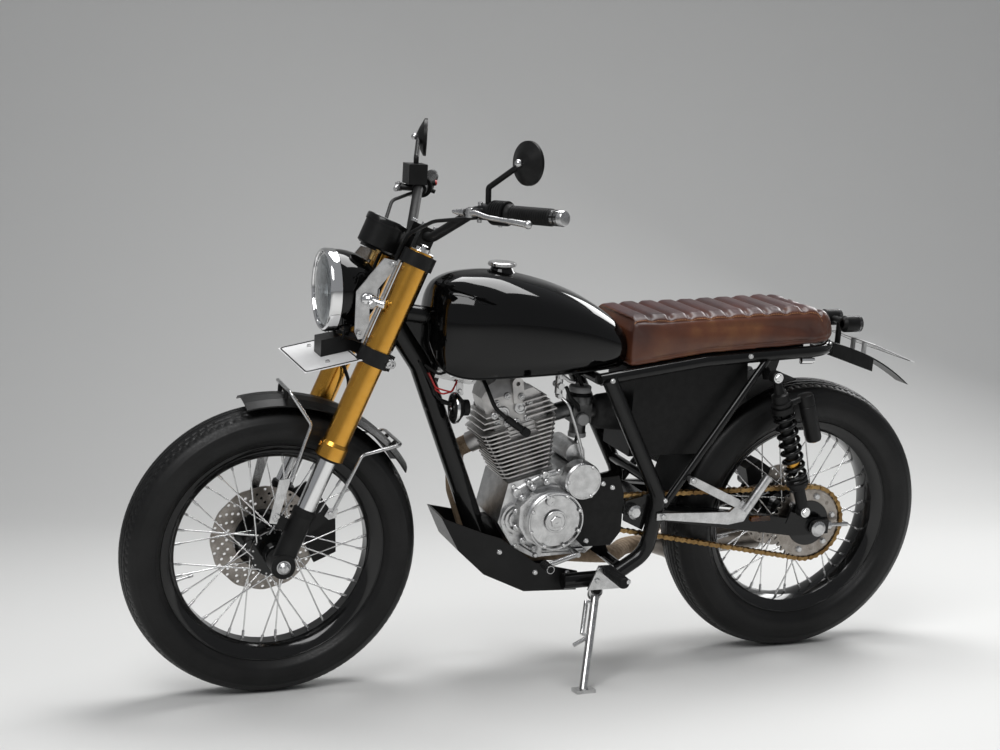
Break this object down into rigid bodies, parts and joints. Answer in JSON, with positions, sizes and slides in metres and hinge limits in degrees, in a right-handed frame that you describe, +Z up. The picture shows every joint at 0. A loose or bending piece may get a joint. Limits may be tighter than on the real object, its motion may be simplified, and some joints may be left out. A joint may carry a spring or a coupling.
{
  "type": "cafe racer motorcycle",
  "caption": "Cafe racer motorcycle with wire wheels, long tank, ribbed flat seat and open single engine, leaning on its side stand.",
  "frame": {"origin": "on the floor, under the middle of the bounding box", "axes": "+X to the rear of the motorcycle, +Y to its right side, +Z up; it leans 10 degrees to its left, towards -Y"},
  "size_m": [1.9644, 0.819, 1.2868],
  "materials": {
    "black_frame": "semi-gloss black enamel",
    "bright_steel": "brushed",
    "gold_chain": "gold-coloured plating, oiled",
    "dark_steel": "brushed, heat-darkened",
    "black_metal": "satin black coating",
    "cast_aluminium": "cast, lightly polished",
    "bare_fins": "bare cast fins",
    "black_plastic": "matt, fine grain",
    "filter_fabric": "pleated black fabric with rubber ends",
    "black_rubber": "matt ribbed",
    "wrapped_header": "tan woven heat wrap",
    "tank_black": "gloss black paint",
    "brown_leather": "soft brown with stitched rolls",
    "plate_white": "blank plate with a dark border",
    "gold_tube": "gold anodised",
    "chrome": "polished",
    "lens_glass": "clear",
    "tyre": "matt with worn crown",
    "black_rim": "gloss black rims and hubs with bright laced spokes"
  },
  "bodies": {
    "chassis": {"frame": "black_frame", "swingarm": "black_frame", "rear_axle": "bright_steel", "chain": "gold_chain", "drive_sprocket": "dark_steel", "rear_shocks": "black_metal", "crankcase": "cast_aluminium", "cylinder": "bare_fins", "cylinder_head": "bare_fins", "engine_covers": "cast_aluminium", "starter_motor": "black_metal", "sprocket_cover": "black_plastic", "carburettor": "cast_aluminium", "air_filter": "filter_fabric", "ignition_lead": "black_rubber", "exhaust_header": "wrapped_header", "silencer": "dark_steel", "skid_plate": "black_metal", "rider_footpegs": "bright_steel", "passenger_footpegs": "cast_aluminium", "foot_levers": "bright_steel", "fuel_tank": "tank_black", "tank_fittings": "bright_steel", "seat": "brown_leather", "battery_box": "black_plastic", "rear_mudguards": "black_plastic", "tail_lamps": "black_plastic", "rear_plate": "plate_white", "horn": "black_plastic", "rear_brake": "black_metal"},
    "fork": {"fork_clamps": "black_metal", "fork_tubes": "gold_tube", "fork_stanchions": "chrome", "fork_feet": "black_metal", "front_axle": "bright_steel", "front_fender": "black_plastic", "fender_stays": "bright_steel", "headlamp": "tank_black", "headlamp_lens": "lens_glass", "headlamp_brackets": "cast_aluminium", "front_plate": "plate_white", "speedometer": "black_metal", "handlebar": "black_metal", "grips": "black_rubber", "switchgear": "black_metal", "levers": "black_metal", "mirrors": "black_plastic", "front_brake": "black_metal", "control_cables": "black_rubber"},
    "front_wheel": {"front_tyre": "tyre", "front_wire_wheel": "black_rim", "front_disc": "bright_steel"},
    "rear_wheel": {"rear_tyre": "tyre", "rear_wire_wheel": "black_rim", "rear_sprocket": "dark_steel", "rear_disc": "bright_steel"},
    "stand": {"side_stand": "bright_steel"}
  },
  "joints": [
    {"name": "steering", "type": "hinge", "parent": "chassis", "child": "fork", "pos_m": [-0.39119, 0.04181, 0.85124], "axis": [0.3827, -0.1604, 0.9098], "range_deg": [-32, 32]},
    {"name": "front_wheel", "type": "hinge", "parent": "fork", "child": "front_wheel", "pos_m": [-0.65775, 0.13541, 0.32041], "axis": [0, 0.9848, 0.1736], "continuous": true},
    {"name": "rear_wheel", "type": "hinge", "parent": "chassis", "child": "rear_wheel", "pos_m": [0.64225, 0.13272, 0.33567], "axis": [0, 0.9848, 0.1736], "continuous": true},
    {"name": "side_stand", "type": "hinge", "parent": "chassis", "child": "stand", "pos_m": [0.06025, 0.00479, 0.19736], "axis": [-0.1248, -0.8622, 0.491], "range_deg": [0, 105]}
  ]
}
